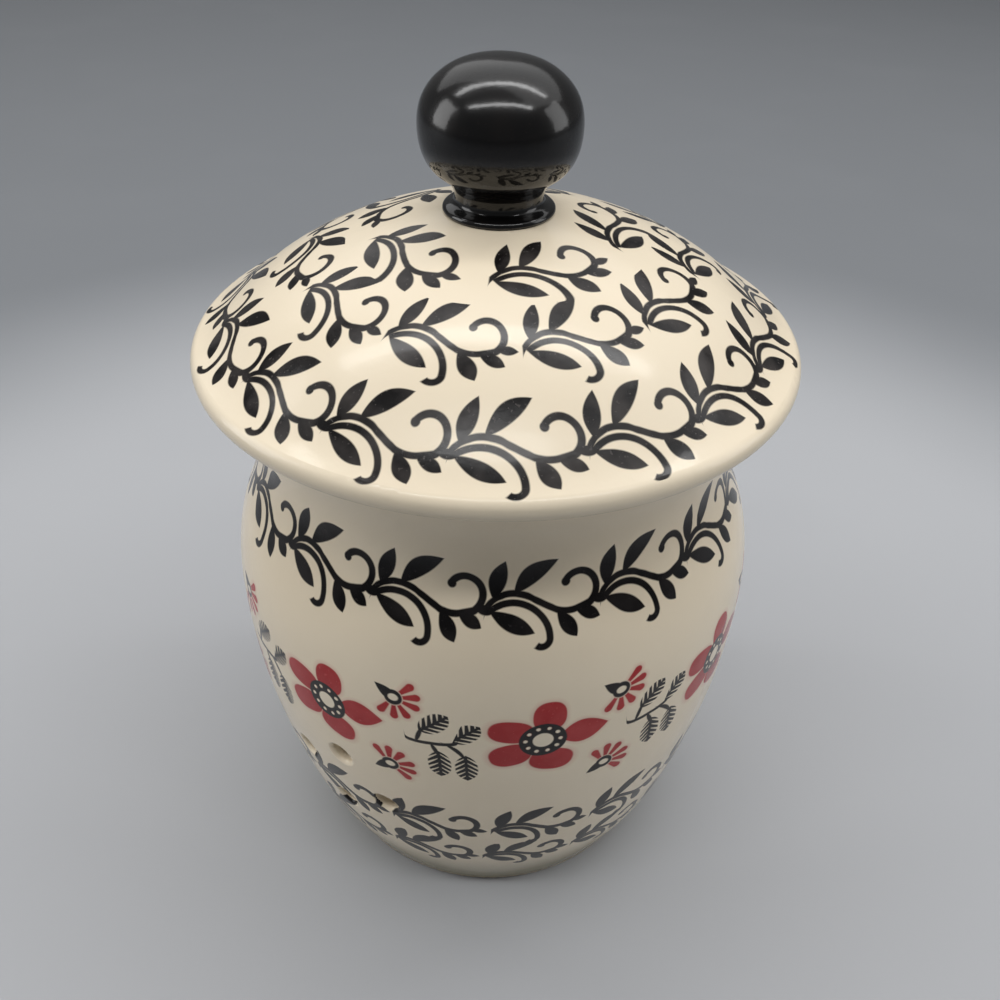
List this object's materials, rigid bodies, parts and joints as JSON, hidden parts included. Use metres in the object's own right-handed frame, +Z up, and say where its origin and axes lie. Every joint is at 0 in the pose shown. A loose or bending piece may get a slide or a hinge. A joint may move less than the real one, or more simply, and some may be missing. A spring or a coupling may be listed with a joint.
{
  "type": "garlic keeper",
  "caption": "Barrel-shaped glazed stoneware jar pierced with small vent holes, with a broad domed lift-off lid and a ball knob.",
  "frame": {"origin": "centre of the foot ring on the table", "axes": "+Z up along the jar's axis of revolution; the two groups of vent holes face -Y and +Y"},
  "size_m": [0.12, 0.12, 0.1817],
  "materials": {
    "jar_glaze": "clear gloss glaze over cream stoneware with painted bands",
    "lid_glaze": "clear gloss glaze over cream stoneware with painted bands",
    "knob_glaze": "gloss black glaze"
  },
  "bodies": {
    "jar": {"jar_body": "jar_glaze"},
    "lid": {"lid_dome": "lid_glaze", "lid_knob": "knob_glaze"}
  },
  "joints": [
    {"name": "lid_lift", "type": "slide", "parent": "jar", "child": "lid", "axis": [0, 0, 1], "range_m": [0, 0.06]}
  ]
}
